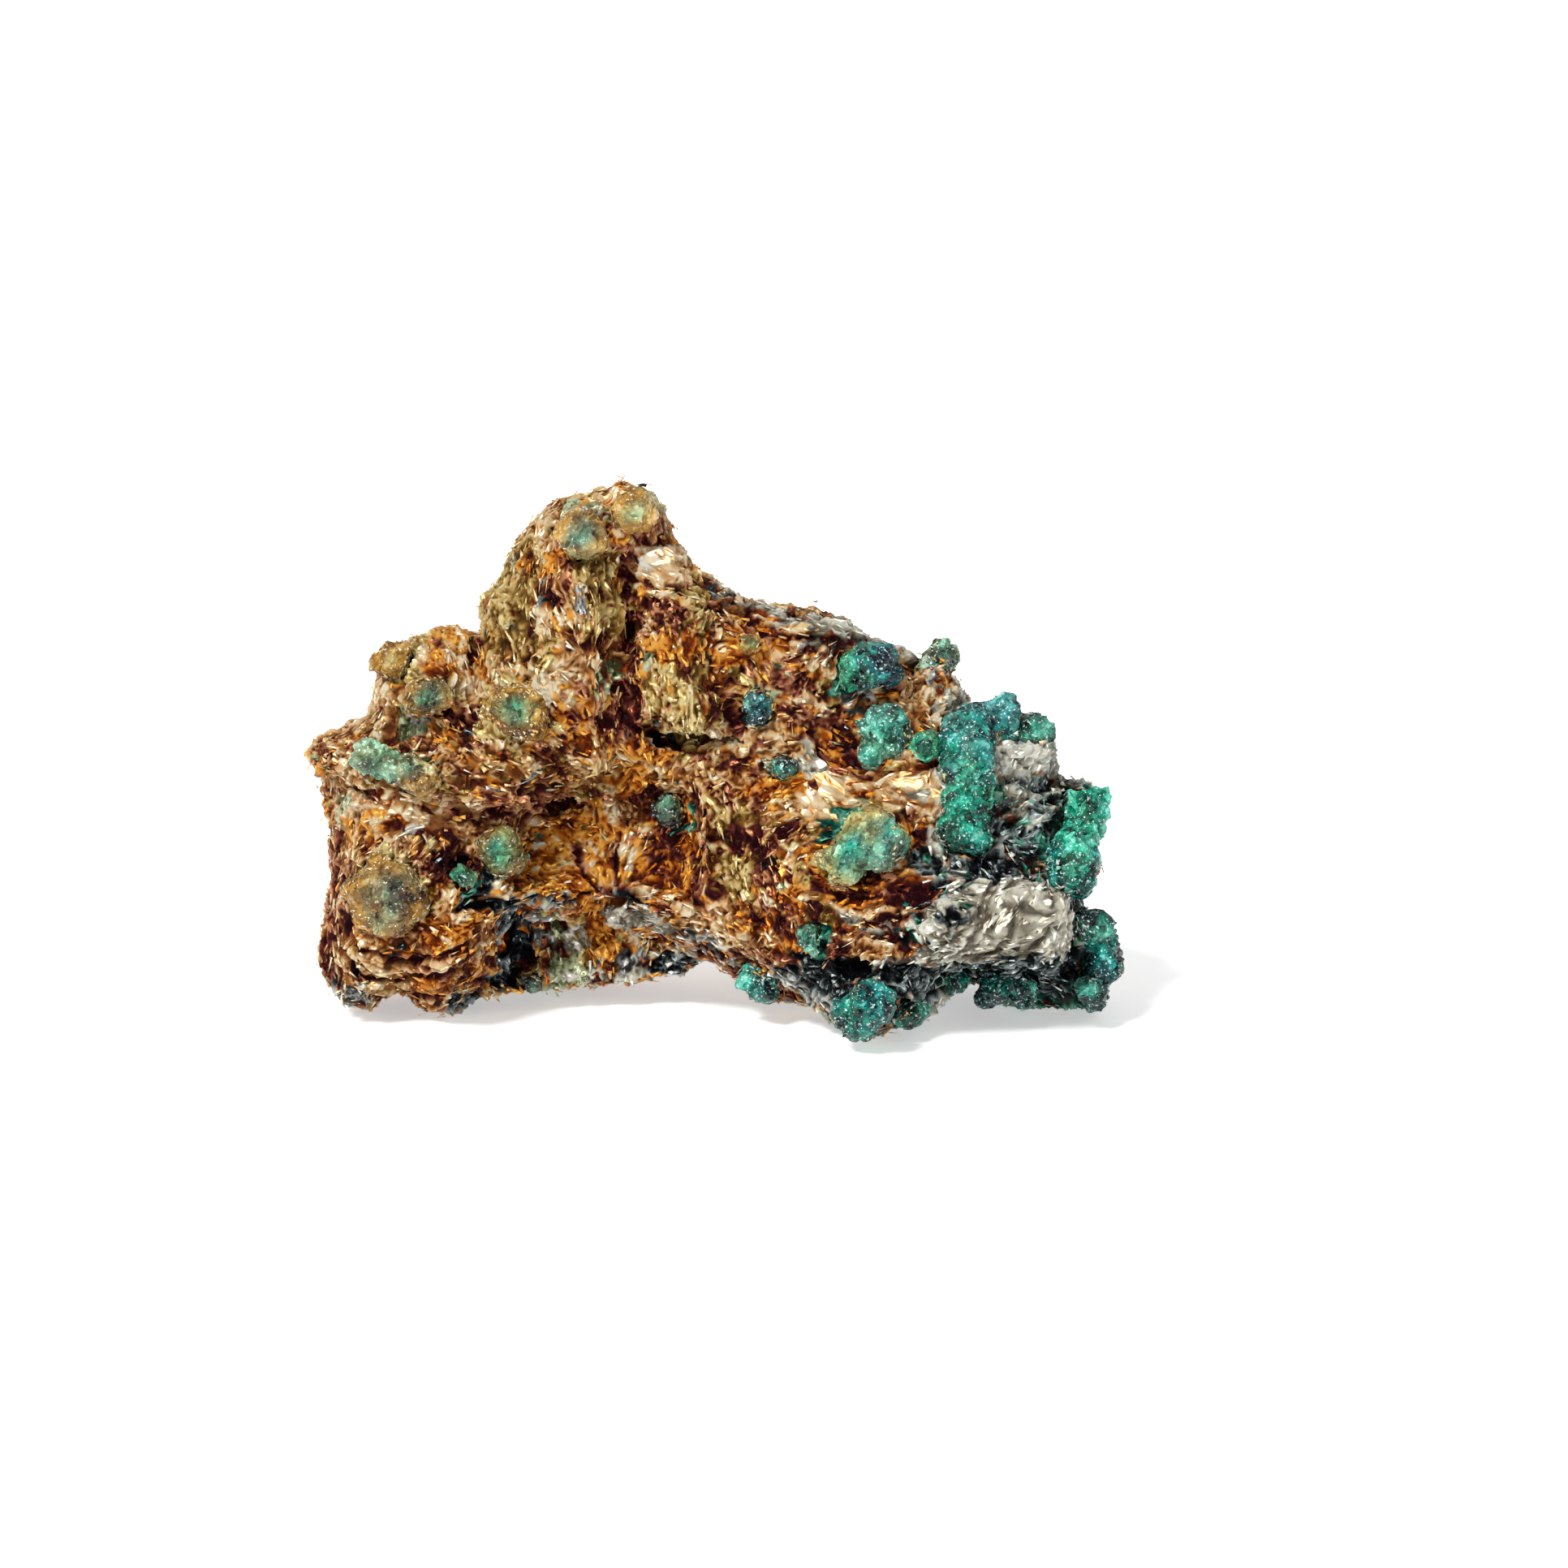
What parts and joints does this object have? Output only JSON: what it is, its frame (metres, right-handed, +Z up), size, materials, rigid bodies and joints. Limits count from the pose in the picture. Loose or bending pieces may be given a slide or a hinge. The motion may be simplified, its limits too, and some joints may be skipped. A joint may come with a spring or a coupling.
{
  "type": "emerald in matrix",
  "caption": "Rough hand-sized lump of mica schist with green emerald crystals grown in it, standing on flat feet.",
  "frame": {"origin": "middle of the ground that the lump covers", "axes": "+X to the right of the show face, +Y away from the one who looks at it, +Z up"},
  "size_m": [0.1, 0.052, 0.0669],
  "materials": {
    "schist": "rough flaky mica, rust stained",
    "emerald": "frosted translucent crystal",
    "emerald_pale": "pale translucent crystal"
  },
  "bodies": {
    "root": {"matrix": "schist", "emerald_arch_right": "emerald", "emerald_right_shoulder": "emerald", "emerald_right_edge": "emerald", "emerald_rounded_upper": "emerald", "emerald_bright_upper": "emerald", "emerald_dark_ridge": "emerald", "emerald_stub_on_ridge": "emerald_pale", "emerald_lower_right": "emerald", "emerald_bottom_right": "emerald", "emerald_bottom_corner": "emerald", "emerald_bottom_middle": "emerald", "emerald_bottom_small": "emerald", "emerald_low_small": "emerald", "emerald_bottom_edge": "emerald", "emerald_cluster_middle": "emerald", "emerald_blue_middle": "emerald", "emerald_flat_dark": "emerald", "emerald_wedge_low": "emerald", "emerald_pale_prism_left": "emerald_pale", "emerald_olive_lump_left": "emerald_pale", "emerald_olive_prism_end": "emerald_pale", "emerald_sheen_left": "emerald", "emerald_small_left": "emerald", "emerald_small_centre": "emerald", "emerald_peak": "emerald_pale", "emerald_upper_tower": "emerald_pale", "emerald_shoulder_left": "emerald_pale", "emerald_shoulder_low": "emerald_pale", "emerald_bottom_left": "emerald", "emerald_crest_small": "emerald_pale", "emerald_back_left": "emerald_pale", "emerald_back_upper": "emerald_pale", "emerald_back_middle": "emerald", "emerald_back_right": "emerald", "emerald_back_low": "emerald"}
  },
  "joints": []
}
